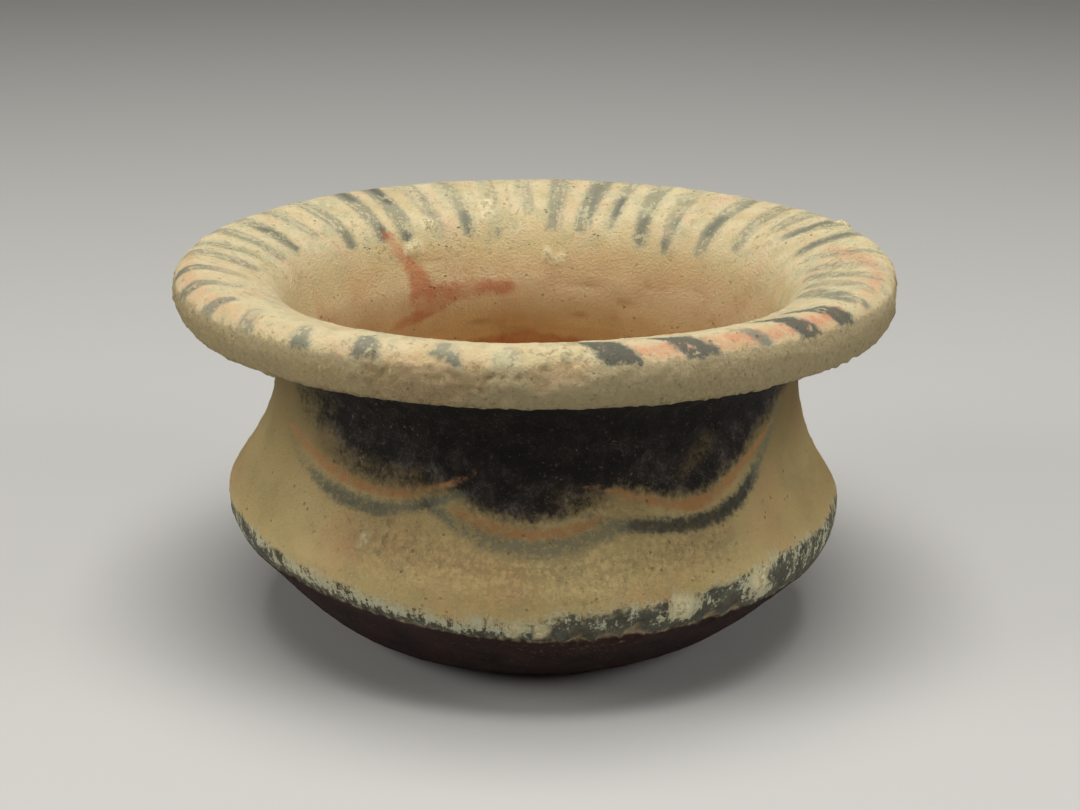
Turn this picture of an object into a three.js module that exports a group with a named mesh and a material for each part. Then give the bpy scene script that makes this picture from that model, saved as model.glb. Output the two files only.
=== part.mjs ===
// A small painted bowl of fired clay, built by hand and standing on its own flat foot.
// It is one piece: a low body with a keel round its widest part, a drawn-in neck
// and a wide flaring mouth that ends in a thick rounded lip.
// Millimetres, +Z up. The origin is on the ground under the middle of the foot, and the front faces -Y.

import * as THREE from "three";

// Radii of the outside
const FOOT_RADIUS = 33.5;
const BELLY_RADIUS = 64.9;
const KEEL_INSET = 2.2;
const NECK_RADIUS = 54.9;
const LIP_OVERHANG = 20.1;

// Heights, each one measured from the one before it
const KEEL_HEIGHT = 19.9;
const BELLY_ABOVE_KEEL = 8.7;
const NECK_ABOVE_BELLY = 27.2;
const LIP_ABOVE_NECK = 11.7;
const LIP_DEPTH = 11.5;

// The rounding of the lip: how far its under edge and its crown lie inside its rim, and where the rim is
const LIP_EDGE_INSET = 3.3;
const LIP_CROWN_INSET = 5.3;
const LIP_RIM_ABOVE_EDGE = 6.1;

// Walls, and the slope of the mouth inside the lip
const FLOOR_THICKNESS = 6.2;
const BELLY_WALL = 5.6;
const NECK_WALL = 5;
const FLARE_WIDTH = 13.6;
const FLARE_DROP = 4.8;
const FLOOR_DISH = 0.7;

// What the potter's hand left uneven
const BODY_SLANT_DEG = -0.9;
const NECK_SHIFT = 0.6;
const LIP_SWELLING = 0.5;
const KEEL_WAVES = [
  { lobes: 2, size: 1.1, peak: 105 },
  { lobes: 4, size: 0.5, peak: 45 },
];
const MOUTH_WAVES = [
  { lobes: 3, size: 0.25, peak: 90 },
  { lobes: 5, size: 0.15, peak: 50 },
];

const SEGMENTS = 80;

const bellyHeight = KEEL_HEIGHT + BELLY_ABOVE_KEEL;
const neckHeight = bellyHeight + NECK_ABOVE_BELLY;
const lipEdgeHeight = neckHeight + LIP_ABOVE_NECK;
const crownHeight = lipEdgeHeight + LIP_DEPTH;
const keelRadius = BELLY_RADIUS - KEEL_INSET;
const lipRadius = NECK_RADIUS + LIP_OVERHANG;
const crownRadius = lipRadius - LIP_CROWN_INSET;
const floorRadius = FOOT_RADIUS - FLOOR_THICKNESS;

// The half section is walked up the outside, over the lip and down the inside.
// in and out are the ways the line runs into a station and on from it, in degrees from straight outward,
// and before and after are how long it keeps to them.
const stations = [
  { r: FOOT_RADIUS, z: 0, out: 2, after: 10.9 },
  { r: keelRadius, z: KEEL_HEIGHT, in: 45, before: 16.5, out: 66, after: 1.5, steps: 8 },
  { r: BELLY_RADIUS, z: bellyHeight, in: 90, before: 5.2, out: 90, after: 3, steps: 4 },
  { r: NECK_RADIUS, z: neckHeight, in: 90, before: 16, out: 90, after: 7, steps: 8 },
  { r: lipRadius - LIP_EDGE_INSET, z: lipEdgeHeight, in: 5, before: 8.7, out: 8, after: 1.8, steps: 6 },
  { r: lipRadius, z: lipEdgeHeight + LIP_RIM_ABOVE_EDGE, in: 90, before: 2.6, out: 90, after: 3.1, steps: 4 },
  { r: crownRadius, z: crownHeight, in: 180, before: 3.1, out: 180, after: 3.4, steps: 4 },
  { r: crownRadius - FLARE_WIDTH, z: crownHeight - FLARE_DROP, in: 212, before: 5, out: 212, after: 3.4, steps: 4 },
  { r: NECK_RADIUS - NECK_WALL, z: neckHeight + 2, in: 270, before: 9, out: 270, after: 9, steps: 5 },
  { r: BELLY_RADIUS - BELLY_WALL, z: bellyHeight + 1, in: 270, before: 8, out: 270, after: 13, steps: 5 },
  { r: floorRadius, z: FLOOR_THICKNESS, in: 180, before: 17, steps: 6 },
];

function heading(degrees, length) {
  const angle = THREE.MathUtils.degToRad(degrees);
  return new THREE.Vector2(Math.cos(angle), Math.sin(angle)).multiplyScalar(length);
}

function stretch(from, to) {
  const start = new THREE.Vector2(from.r, from.z);
  const end = new THREE.Vector2(to.r, to.z);
  const leaving = start.clone().add(heading(from.out, from.after));
  const arriving = end.clone().sub(heading(to.in, to.before));
  return new THREE.CubicBezierCurve(start, leaving, arriving, end).getPoints(to.steps);
}

// From the middle of the foot to the middle of the floor, so that turning it makes one closed body
function halfSection() {
  const points = [new THREE.Vector2(0, 0), new THREE.Vector2(FOOT_RADIUS, 0)];
  for (let i = 1; i < stations.length; i += 1) {
    points.push(...stretch(stations[i - 1], stations[i]).slice(1));
  }
  points.push(new THREE.Vector2(0, FLOOR_THICKNESS - FLOOR_DISH));
  return points;
}

function waves(list, azimuth) {
  return list.reduce((sum, wave) => {
    const turn = azimuth - THREE.MathUtils.degToRad(wave.peak);
    return sum + wave.size * Math.cos(wave.lobes * turn);
  }, 0);
}

// How much a height belongs to the keel, the body, the neck and the lip, from 0 to 1
function partOf(z) {
  const { smoothstep } = THREE.MathUtils;
  const aboveFoot = smoothstep(z, 0, KEEL_HEIGHT);
  const aboveNeck = smoothstep(z, neckHeight, lipEdgeHeight);
  return {
    keel: aboveFoot * (1 - smoothstep(z, KEEL_HEIGHT, bellyHeight)),
    body: aboveFoot * (1 - aboveNeck),
    neck: smoothstep(z, bellyHeight, neckHeight) * (1 - aboveNeck),
    mouth: aboveNeck,
    crown: smoothstep(z, lipEdgeHeight, crownHeight),
  };
}

// Moves one point of the turned body to where the hand left it
function handShaped(point) {
  const radius = Math.hypot(point.x, point.y);
  const azimuth = Math.atan2(point.x, -point.y);
  const part = partOf(point.z);
  const slant = Math.tan(THREE.MathUtils.degToRad(BODY_SLANT_DEG)) * part.body;
  const rise = (LIP_SWELLING / lipRadius) * part.crown;
  const keelWave = (radius / keelRadius) * waves(KEEL_WAVES, azimuth) * part.keel;
  const grown = 1 + (waves(MOUTH_WAVES, azimuth) / lipRadius) * part.mouth;
  return new THREE.Vector3(
    point.x * grown + NECK_SHIFT * part.neck,
    point.y * grown,
    point.z + (slant + rise) * point.x + keelWave,
  );
}

function bowlGeometry() {
  const geometry = new THREE.LatheGeometry(halfSection(), SEGMENTS);
  geometry.rotateX(Math.PI / 2);
  const position = geometry.getAttribute("position");
  const point = new THREE.Vector3();
  for (let i = 0; i < position.count; i += 1) {
    point.fromBufferAttribute(position, i);
    position.setXYZ(i, ...handShaped(point));
  }
  geometry.computeVertexNormals();
  return geometry;
}

const clay = new THREE.MeshStandardMaterial({ color: 0xb39a6c, roughness: 0.92, metalness: 0 });

const bowl = new THREE.Mesh(bowlGeometry(), clay);
bowl.name = "bowl";

const object = new THREE.Group();
object.add(bowl);

export default object;
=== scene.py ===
"""A small painted bowl of fired clay on a plain pale floor.

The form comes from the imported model. Its facets are smoothed, and it is given the unevenness, chips and
crust of old hand-built pottery. The paint is laid out on the surface in azimuth and in walk. Azimuth is in
degrees round the bowl, 0 at the front and rising to the right. Walk is the distance in millimetres from the
edge of the foot, up the outside, over the lip and down the inside. Lengths are in millimetres up to the
finished mesh.
"""

import math
import random
from collections import namedtuple

import bmesh
import bpy
import numpy as np
from mathutils import Matrix, Vector, noise


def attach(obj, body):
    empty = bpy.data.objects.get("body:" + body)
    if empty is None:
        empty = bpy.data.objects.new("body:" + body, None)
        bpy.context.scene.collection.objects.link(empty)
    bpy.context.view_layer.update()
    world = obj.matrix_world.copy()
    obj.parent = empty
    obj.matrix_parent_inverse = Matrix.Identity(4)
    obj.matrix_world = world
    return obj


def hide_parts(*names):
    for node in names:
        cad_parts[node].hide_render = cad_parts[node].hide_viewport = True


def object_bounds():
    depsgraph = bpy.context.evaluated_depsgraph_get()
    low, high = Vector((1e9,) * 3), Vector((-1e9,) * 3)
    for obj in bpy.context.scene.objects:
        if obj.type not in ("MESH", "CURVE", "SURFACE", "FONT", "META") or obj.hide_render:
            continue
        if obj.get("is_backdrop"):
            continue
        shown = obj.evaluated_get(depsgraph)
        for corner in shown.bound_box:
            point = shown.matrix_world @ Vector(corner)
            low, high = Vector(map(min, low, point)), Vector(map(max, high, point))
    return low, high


MM = 0.001

# How worn paint looks: the strength of its stain, how soft and how ragged its edge is in millimetres,
# and the strength of the paint itself
Wear = namedtuple("Wear", "film soft ragged strength")

# Places along the walk
KEEL = 36.3
FILL_TOP = 98
FLOOR_EDGE = 219.2

# Stretches of the walk
NECK = (62, 96)
LIP = (100, 117)
LIP_FACE = (98, 106)
LIP_SLOPE = (107, 136)

# Stretches of the walk over which something comes in or goes out
FOOT_OUT = (-2, 3)
# Where the dirt and painted shade in the neck under the lip come in and go out
DIRT_AND_SHADE_IN = (54, 74)
DIRT_AND_SHADE_OUT = (96, 100)
SLIP_IN = (104, 109)
SLIP_OUT = (128, 142)
PALE_SAND_IN = (109, 116)
WIPING_IN = (116, 126)
GROOVES_IN = (128, 132)
INSIDE_IN = (132, 146)
DEEP_IN = (144, 160)

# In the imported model: the ring at the keel, which is a corner of the section, the columns in each ring,
# and how near to each other two points are one
KEEL_RING = 8
COLUMNS_PACKED = 80
MERGE_DISTANCE = 0.01

# How finely each stretch of the walk is meshed
Zone = namedtuple("Zone", "until step columns")
FOOT_ZONES = [Zone(-24, 3.2, 100), Zone(-12, 3, 200), Zone(0, 2.4, 400)]
WALL_ZONES = [
    Zone(KEEL, 1.8, 400),
    Zone(97, 1.0, 400),
    Zone(128, 0.65, 800),
    Zone(146, 1.3, 400),
    Zone(FLOOR_EDGE, 2.3, 400),
]
FLOOR_ZONES = [Zone(12, 2.4, 200), Zone(24, 3, 100)]


def rgb(red, green, blue):
    """A colour given from 0 to 255 as on a screen, as linear light."""
    linear = []
    for part in (red, green, blue):
        share = part / 255
        linear.append(share / 12.92 if share <= 0.04045 else ((share + 0.055) / 1.055) ** 2.4)
    return (*linear, 1.0)


BUFF = rgb(184, 160, 106)
BUFF_PALE = rgb(202, 180, 127)
BUFF_GREY = rgb(166, 152, 106)
ROSE = rgb(200, 156, 112)
CREAM = rgb(208, 192, 152)
CREAM_ROSE = rgb(210, 180, 146)
CREAM_GREY = rgb(184, 180, 144)
INSIDE_BROWN = rgb(214, 190, 147)
INSIDE_DEEP = rgb(216, 184, 136)
INSIDE_DARK = rgb(166, 128, 88)
CRUST = rgb(202, 182, 138)
CRUST_PALE = rgb(222, 204, 162)
LUMP_PALE = rgb(234, 219, 172)
SALMON = rgb(202, 138, 102)
RUN_RED = rgb(182, 102, 66)
OCHRE = rgb(172, 124, 78)
BLACK = rgb(11, 8, 8)
BLACK_WARM = rgb(38, 32, 30)
SMOKE = rgb(64, 56, 54)
CHARCOAL = rgb(58, 58, 55)
SLATE = rgb(108, 111, 98)
SLATE_PALE = rgb(152, 152, 126)
FROST = rgb(196, 197, 166)
SCRATCH = rgb(104, 98, 92)
MOSS = rgb(118, 120, 96)
MOSS_DARK = rgb(84, 80, 62)
BARE = rgb(214, 180, 142)
# Mud, also used as painted shade over the middle of the shoulder
MUD_AND_PAINTED_SHADE = rgb(112, 95, 62)
# Dirt and painted shade in the neck under the lip
DIRT_AND_SHADE_UNDER_LIP = rgb(92, 78, 48)
# The underside's red-brown, darkened further with painted shade
UNDER_DARK_AND_SHADE = rgb(21, 14, 14)
UNDER_RED = rgb(58, 36, 32)
# Dirt in grains and pits, and painted shade in the deepest parts of the flaked skin
DARK_DIRT_AND_SHADE = rgb(84, 66, 44)

# Strokes of the brush over the lip: outer and inner end as (azimuth, walk), the widths there, and the loads
# of paint left there
Stroke = namedtuple("Stroke", "outer inner wide narrow load end_load")
FRONT_STROKES = [
    Stroke((12.5, 107), (7, 116), 6.8, 2.4, 1.0, 0.9),
    Stroke((24.5, 107), (18, 115), 6.0, 1.8, 0.95, 0.9),
    Stroke((34.5, 108.5), (31, 113), 3.2, 1.4, 0.75, 0.6),
    Stroke((43.5, 107.5), (38.5, 117), 5.4, 2.2, 0.95, 0.9),
    Stroke((52, 107.8), (47, 118), 5.4, 2.4, 0.95, 0.85),
    Stroke((59.5, 109), (58.5, 111.5), 2.6, 1.6, 0.7, 0.5),
    Stroke((58, 113), (70, 127), 5.6, 3.6, 0.68, 0.62),
    Stroke((65, 112), (77, 127), 4.0, 3.0, 0.45, 0.5),
    Stroke((72, 112), (84, 127), 4.2, 3.0, 0.48, 0.55),
    Stroke((80, 112), (90, 126), 4.0, 3.0, 0.42, 0.5),
    Stroke((90, 112), (97, 125), 4.0, 3.0, 0.5, 0.5),
    Stroke((-3.5, 108.4), (-3.5, 110.8), 5.4, 3.0, 0.5, 0.4),
    Stroke((-12, 106.8), (-12.5, 111.5), 6.4, 4.2, 0.88, 0.6),
    Stroke((-23.5, 106), (-24.5, 111), 6.4, 4.4, 0.92, 0.75),
    Stroke((-34.5, 107), (-35.5, 111), 4.6, 3.4, 0.84, 0.6),
    Stroke((-46, 107.5), (-48, 113), 4.8, 3.4, 0.62, 0.4),
    Stroke((-57, 107.5), (-56, 113), 4.8, 3.6, 0.66, 0.7),
    Stroke((-68, 108), (-66, 118), 4.8, 3.6, 0.74, 0.5),
    Stroke((-78, 109), (-77, 121), 4.8, 3.8, 0.8, 0.45),
    Stroke((-88, 111), (-87, 124), 5.2, 4.4, 0.55, 0.62),
]

# The strokes at the back reach down the inside: azimuth, where they end, and the load of paint
BACK_STROKES = [
    (103, 127, 0.6), (112, 125, 0.6), (118.5, 124, 0.52), (125, 132, 0.55), (134.5, 135, 0.55),
    (146, 136, 0.45), (153.5, 135, 0.55), (161, 132, 0.5), (167.5, 133, 0.6), (175.5, 133, 0.55),
    (182.5, 129, 0.4), (190.5, 135, 0.4), (198, 134, 0.5), (206, 134, 0.45), (214, 134, 0.62),
    (221, 133, 0.62), (231, 133, 0.56), (240, 128, 0.52), (249, 129, 0.6), (257, 129, 0.56),
    (265, 125, 0.52),
]
# Where more of their paint is left: azimuth, from and to along the walk, and how much more
BACK_CORES = [
    (103, 114, 123, 0.22), (112, 114, 122, 0.2), (134.5, 124, 129, 0.3), (132.5, 114, 118, 0.2),
    (144.5, 127, 128, 0.3), (146, 133, 135, 0.35), (153, 128, 134, 0.28), (160.5, 122, 127, 0.35),
    (167, 115, 128, 0.18), (175, 125, 129, 0.15), (189.5, 133, 134, 0.25), (197.5, 128, 133, 0.3),
    (213.5, 112, 120, 0.3), (214, 132, 133, 0.28), (220.5, 112, 117, 0.25), (220, 129, 132, 0.3),
    (231, 128, 132, 0.22), (249, 119, 128, 0.25), (205, 115, 121, 0.2),
]
CORE_SOFT = 1.2
CORE_HALF_WIDTH = 1.3
BACK_SEED = 11
BACK_STROKE_START = 111.5
BACK_STROKE_WIDTH = 5.0
BACK_STROKE_TAPER = 0.72
BACK_STROKE_LEAN = 1.2
STROKE_CUT = 106.6
STROKE_BELLY = 0.12
STROKE_WAIST = 0.45

# The swags round the neck, as (azimuth, walk). The same group is repeated, plainer, at the back
FILL_EDGE = [
    (-76, 99), (-68, 80), (-60, 72), (-54, 68), (-48, 65.4), (-42, 63.6), (-34, 62.4), (-28, 62.3),
    (-22, 63.4), (-16, 63.6), (-11, 60.8), (-5, 58.9), (0, 58.4), (5, 59), (10, 61.2), (16, 64.4),
    (21, 63.8), (26, 62), (31, 61.2), (36, 62), (42, 64.4), (50, 69), (58, 73), (66, 76.5), (72, 80),
    (78, 99),
]
# The line reserved along their edge, as (azimuth, walk, half width)
RESERVE_LINES = [
    [
        (-62, 67.4, 0.4), (-56, 65.8, 0.6), (-50, 64.4, 0.8), (-40, 62.4, 0.9), (-30, 61.6, 0.9),
        (-24, 62.6, 0.7), (-18, 65, 0.4), (-12, 68, 0.1),
    ],
    [
        (-15, 61, 0.7), (-10, 59, 0.9), (-5, 57.5, 1), (0, 57, 1), (5, 57.4, 0.9), (10, 58.8, 0.8),
        (13, 60.2, 0.6),
    ],
    [
        (9, 66.4, 0.1), (15, 65, 0.4), (22, 62.6, 0.8), (28, 60.9, 1.1), (33, 60.5, 1.2), (38, 61.8, 1),
        (44, 64.9, 0.8), (52, 68.6, 0.6), (58, 71.4, 0.4),
    ],
]

# The line under the swags, as (azimuth, walk, half width), and how much paint it keeps
UNDER_LINES = [
    [
        (-62, 66.5, 0.4), (-55, 62.8, 0.6), (-50, 61.3, 0.9), (-45, 60, 1.4), (-38, 58.7, 1.5),
        (-30, 58.5, 1.4), (-24, 60.2, 1.3), (-19, 61.8, 1.1), (-14, 63.4, 0.7),
    ],
    [
        (-20, 61, 1), (-14, 58.2, 1.5), (-8, 55.6, 1.9), (0, 54.2, 2), (6, 55, 1.9), (11, 56.4, 1.7),
        (17, 58.4, 1.3),
    ],
    [
        (10, 59.6, 0.9), (16, 58.6, 1.2), (22, 57.8, 1.5), (30, 57, 1.6), (37, 57.5, 1.6), (43, 59.4, 1.6),
        (49, 62.8, 1.3), (55, 68.4, 1), (62, 74.5, 0.8),
    ],
]
UNDER_LINE_LOAD = [
    (-65, 0.35), (-52, 0.45), (-44, 0.8), (-30, 0.8), (-25, 0.6), (-21, 1), (-16, 0.55), (0, 0.62),
    (14, 0.6), (19, 1), (34, 1.1), (47, 1), (52, 0.6), (62, 0.55),
]
FILL_LOAD = [
    (-72, 0.1), (-60, 0.32), (-50, 0.52), (-40, 0.74), (-30, 0.9), (-20, 1), (-5, 1.1), (4, 0.95),
    (14, 0.9), (24, 1), (45, 1), (56, 0.85), (70, 0.55),
]

# The share of the neck's paint that is left at the back, and of the fill's load along its edge
BACK_KEEPS = 0.75
FILL_AT_EDGE = 0.55

# The band on the keel: its upper edge, and how much dark paint it keeps
BAND_TOP = [
    (-180, 43), (-150, 44), (-120, 43.4), (-90, 45), (-62, 45), (-50, 43.6), (-38, 42.4), (-25, 41.4),
    (-10, 40.7), (0, 41), (6, 42.3), (20, 43), (32, 44.1), (47, 46), (60, 46.2), (72, 47.4), (90, 46),
    (120, 44), (150, 43), (180, 43),
]
BAND_LOAD = [
    (-180, 0.7), (-120, 0.6), (-75, 0.75), (-60, 0.75), (-50, 0.45), (-30, 0.42), (-8, 0.36), (-4, 0.3),
    (2, 0.6), (7, 0.92), (14, 0.85), (22, 0.92), (25, 0.3), (28, 0.34), (31, 0.98), (37, 0.92), (42, 0.3),
    (45, 0.36), (49, 0.9), (60, 0.84), (72, 0.74), (100, 0.6), (140, 0.5), (180, 0.6),
]

# Red that ran down inside, as (azimuth, walk, half width)
RED_RUNS = [
    [(219.5, 131.5, 1.3), (217, 136, 1.9), (213.5, 141, 2.4), (211.5, 146, 3)],
    [(213, 147, 2.8), (203, 146.6, 2.3), (195, 146, 2), (188, 145.8, 1.7)],
    [(206, 148.5, 2.2), (213, 151.5, 2), (219, 153.6, 1.2)],
    [(200, 163, 1.5), (184, 161, 3), (168, 163, 2)],
]

# Tints of salmon, and films of mud and of painted shade: how strong, how soft its edge in millimetres, and
# the line it keeps to
Tint = namedtuple("Tint", "amount soft line")
SALMON_TINTS = [
    Tint(0.85, 1.2, [(14, 109.6, 1.4), (30, 110, 2), (52, 110.2, 2)]),
    Tint(0.45, 2, [(-88, 111, 1.4), (-66, 110.4, 2), (-46, 110, 1.6)]),
    Tint(0.6, 1.5, [(62, 110.5, 1), (76, 112, 1.4), (92, 118, 2), (98, 120, 1.2)]),
    Tint(0.16, 5, [(112, 141, 3), (165, 142, 4), (205, 142, 3)]),
    Tint(0.2, 5, [(-40, 51, 3), (-22, 53, 4), (-8, 49, 3)]),
    Tint(0.22, 4, [(-28, 108, 2), (-8, 108, 2)]),
    Tint(0.4, 1.5, [(-2, 37.5, 0.6), (22, 37.6, 0.8), (40, 37.8, 0.6)]),
    Tint(0.2, 9, [(160, 172, 6), (180, 176, 8), (215, 172, 6)]),
]
MUD_AND_SHADE_FILMS = [
    Tint(0.6, 3, [(5, 63.5, 1), (12, 62.5, 2), (20, 60.5, 1.6)]),
    Tint(0.75, 1.6, [(-30, 65.6, 1.4), (-24, 65.8, 1.4)]),
    Tint(0.6, 2.5, [(-48, 67, 1.6), (-38, 65.4, 1.8), (-20, 63.4, 1.2)]),
    Tint(0.5, 3, [(-14, 59, 1), (0, 55, 1.4), (14, 58, 2)]),
    Tint(0.42, 1.8, [(30, 66.5, 0.8), (36, 71.5, 2)]),
    # Painted shade: the middle of the shoulder darkened where the lip's shadow falls. The crust it brings
    # is the bowl's own
    Tint(0.6, 9, [(-30, 52, 3), (0, 50, 5), (34, 53, 3)]),
]

# How much crust there is all over, how much that varies, how much less there is on the neck, and how much
# more on the slope of the lip and under the mud and the painted shade. At the lumps it is at least
# CRUST_AT_LUMPS
CRUST_ALL_OVER = 0.17
CRUST_VARIES = 0.12
CRUST_LESS_ON_NECK = 0.06
CRUST_ON_SLOPE = 0.06
CRUST_IN_MUD_AND_SHADE = 0.2
CRUST_AT_LUMPS = 0.5
# How much more the lip has round the bowl
LIP_CRUST = [
    (-180, 0.5), (-90, 0.48), (-40, 0.5), (-26, 0.5), (5, 0.68), (60, 0.68), (85, 0.45), (180, 0.5),
]

# Things that stand on the surface or are broken out of it: azimuth, walk, radius and height
Mark = namedtuple("Mark", "azimuth walk radius height")
LUMPS = [
    Mark(112, 109, 2.4, 1.1),
    Mark(207.5, 129.5, 1.8, 0.6),
    Mark(212, 135, 1.7, 0.7),
    Mark(214.5, 135, 1.5, 0.5),
    Mark(191.5, 124.5, 1.9, 0.3),
    Mark(192, 128, 1.6, 0.4),
    Mark(173.5, 138.6, 1.2, 0.6),
    Mark(175.3, 139.6, 1.2, 0.6),
    Mark(177, 138.4, 1.2, 0.6),
    Mark(177.2, 136.6, 1.0, 0.5),
    Mark(-3, 39, 1.5, 0.4),
    Mark(1.5, 39.4, 1.6, 0.5),
    Mark(26, 41.8, 2.4, 0.4),
    Mark(43, 42.6, 2.6, 0.3),
    Mark(-31.5, 53.2, 0.8, 0.15),
    Mark(-31.2, 51.6, 0.8, 0.15),
]
MUD_LUMPS = [Mark(-27, 65.5, 2.3, 0.5), Mark(37, 72, 2.2, 0.4), Mark(8, 63, 2.0, 0.3)]
CHIPS = [
    Mark(8, 36.6, 1.7, 0.5),
    Mark(13, 36.9, 2.1, 0.6),
    Mark(17.5, 37.3, 2.4, 0.7),
    Mark(33, 36.8, 2.2, 0.6),
    Mark(38, 37.1, 1.6, 0.5),
    Mark(-48, 36.8, 1.5, 0.4),
    Mark(96, 36.8, 2.4, 0.6),
    Mark(150, 37, 2.0, 0.5),
    Mark(216, 36.7, 2.6, 0.6),
    Mark(3, 107, 2.4, 0.5),
    Mark(6.5, 107.6, 1.8, 0.4),
    Mark(203, 104, 2.2, 0.5),
]
# Grooves that the potter's fingers left inside
GROOVES = [
    [(150, 151, 0.2), (160, 152.5, 0.4)],
    [(165, 152, 0.3), (172, 153.6, 0.6)],
    [(152, 147.6, 0.5), (158, 148.2, 0.3)],
    [(158, 145.4, 0.2), (176, 144.4, 0.3)],
    [(188, 154.4, 0.5), (206, 156.4, 0.2)],
    [(166, 156.6, 0.2), (192, 157.2, 0.3)],
    [(196, 139, 0.1), (214, 138, 0.3)],
    [(130, 142, 0.1), (150, 143.4, 0.3)],
]
FLAKED_PATCHES = [Mark(-15, 103.5, 11.5, 0.66), Mark(3, 106, 6, 0.5), Mark(232, 102, 6, 0.4)]
FLAT_FACETS = [Mark(79, 105, 9, 0.5)]

# How deep or high each kind of relief is
DENT = 0.2
RIPPLE = 0.07
WIPING = 0.035
GROOVE = 0.3
GRAIN = 0.3
CLOD = 0.5
SPECK = 0.14
LIP_SHYNESS = 0.26
# How strong the noise that breaks up the flaked skin may get
STRONGEST_BREAK = 0.4
# The heights over which relief comes in above the flat foot
RELIEF_IN = (0.02, 3)

# Noise on the mesh: how it is moved for each seed, how its octaves fade and how much finer each one is
NOISE_SHIFT = Vector((31.7, 11.3, 5.9))
NOISE_FALL = 0.9
NOISE_OCTAVE = 2.0

# The depth in a line of a point that it doesn't come near
FAR_OUTSIDE = -1e3
# Keeps a line of no length from dividing by 0
TINY = 1e-9

# The radius at which the wall is unrolled for noise that follows it
UNROLLED_RADIUS = 65

# The finish of the clay
SPECULAR = 0.2
BUMP_DISTANCE = 0.38

# The photograph's camera
LENS_PIXELS = 2028.524
PHOTO_WIDTH = 1080
SENSOR_WIDTH = 36.0
CAMERA_DISTANCE = 432.094
CAMERA_ELEVATION = 18.286
CAMERA_ROLL = 0.525
LOOKED_AT = Vector((1.228, 0, 44.832))
CLIP_START = 10

# A broad light high up and a little in front, and a weaker one at either side. Metres and watts
Light = namedtuple("Light", "name place size power")
LIGHTS = [
    Light("overhead", (0.0, -0.2, 1.1), 0.7, 13.4),
    Light("left", (-1.0, -0.4, 0.6), 0.5, 5.8),
    Light("right", (1.0, -0.4, 0.6), 0.5, 4.8),
]
SURROUND = rgb(232, 230, 226)
SURROUND_STRENGTH = 0.1

# The floor, its size in metres
FLOOR_SIZE = 6.0
FLOOR_COLOUR = rgb(182, 180, 175)
FLOOR_ROUGHNESS = 0.9


def packed_rings(node):
    """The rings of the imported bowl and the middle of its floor, in millimetres."""
    body = bmesh.new()
    body.from_mesh(node.data)
    bmesh.ops.remove_doubles(body, verts=body.verts, dist=MERGE_DISTANCE * MM)
    start = min(body.verts, key=lambda vertex: vertex.co.length)
    seen = {start}
    front = [start]
    rings = []
    while front:
        rings.append(np.array([vertex.co[:] for vertex in front]) / MM)
        around = {edge.other_vert(vertex) for vertex in front for edge in vertex.link_edges}
        front = list(around - seen)
        seen |= around
    body.free()
    wall = [by_column(ring) for ring in rings if len(ring) == COLUMNS_PACKED]
    return np.array(wall), rings[-1][0]


def by_column(ring):
    """One ring in the order of its azimuth, from the front to the right."""
    middle = ring.mean(axis=0)
    azimuth = np.arctan2(ring[:, 0] - middle[0], middle[1] - ring[:, 1])
    column = np.round(azimuth / (2 * math.pi) * COLUMNS_PACKED).astype(int) % COLUMNS_PACKED
    ordered = np.empty_like(ring)
    ordered[column] = ring
    return ordered


def walk_of(rings):
    """The walk of each packed ring."""
    radii = np.hypot(rings[:, :, 0], rings[:, :, 1]).mean(axis=1)
    outline = np.stack([radii, rings[:, :, 2].mean(axis=1)], axis=1)
    steps = np.linalg.norm(np.diff(outline, axis=0), axis=1)
    return np.concatenate([[0.0], np.cumsum(steps)])


def spline(before, start, end, after, share):
    """A point on the smooth curve from start to end, share of the way along."""
    return 0.5 * (
        2 * start
        + (end - before) * share
        + (2 * before - 5 * start + 4 * end - after) * share**2
        + (3 * start - before - 3 * end + after) * share**3
    )


def ring_at(rings, walks, walk):
    """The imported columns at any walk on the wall, smooth along the section except at the keel."""
    place = float(np.interp(walk, walks, np.arange(len(walks))))
    low = min(int(place), len(walks) - 2)
    start, end = rings[low], rings[low + 1]
    before = 2 * start - end if low in (0, KEEL_RING) else rings[low - 1]
    after = 2 * end - start if low + 1 in (KEEL_RING, len(walks) - 1) else rings[low + 2]
    return spline(before, start, end, after, place - low)


def round_off(ring, columns):
    """A ring of packed columns as a smooth closed curve with more columns."""
    place = np.arange(columns) / columns * len(ring)
    low = place.astype(int)
    share = (place - low)[:, None]
    around = [ring[(low + offset) % len(ring)] for offset in (-1, 0, 1, 2)]
    return spline(*around, share)


def rows_of(zones, start):
    """Walk and columns of each row in the zones, leaving out the row at the start."""
    rows = []
    for zone in zones:
        steps = math.ceil((zone.until - start) / zone.step)
        for walk in np.linspace(start, zone.until, steps + 1)[1:]:
            rows.append((float(walk), zone.columns))
        start = zone.until
    return rows


def mesh_rows(node):
    """The points and the walk of each row of the mesh, from the middle of the foot to that of the floor."""
    rings, floor_middle = packed_rings(node)
    walks = walk_of(rings)
    foot_radius = float(np.linalg.norm(rings[0], axis=1).mean())
    floor_radius = float(np.linalg.norm(rings[-1][:, :2], axis=1).mean())
    rows = [(np.zeros((1, 3)), -foot_radius)]
    for walk, columns in rows_of(FOOT_ZONES, -foot_radius):
        rows.append((round_off(rings[0] * (1 + walk / foot_radius), columns), walk))
    for walk, columns in rows_of(WALL_ZONES, 0.0):
        rows.append((round_off(ring_at(rings, walks, walk), columns), walk))
    for inward, columns in rows_of(FLOOR_ZONES, 0.0):
        ring = rings[-1] + (floor_middle - rings[-1]) * (inward / floor_radius)
        rows.append((round_off(ring, columns), FLOOR_EDGE + inward))
    rows.append((floor_middle[None, :], FLOOR_EDGE + floor_radius))
    return rows


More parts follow.
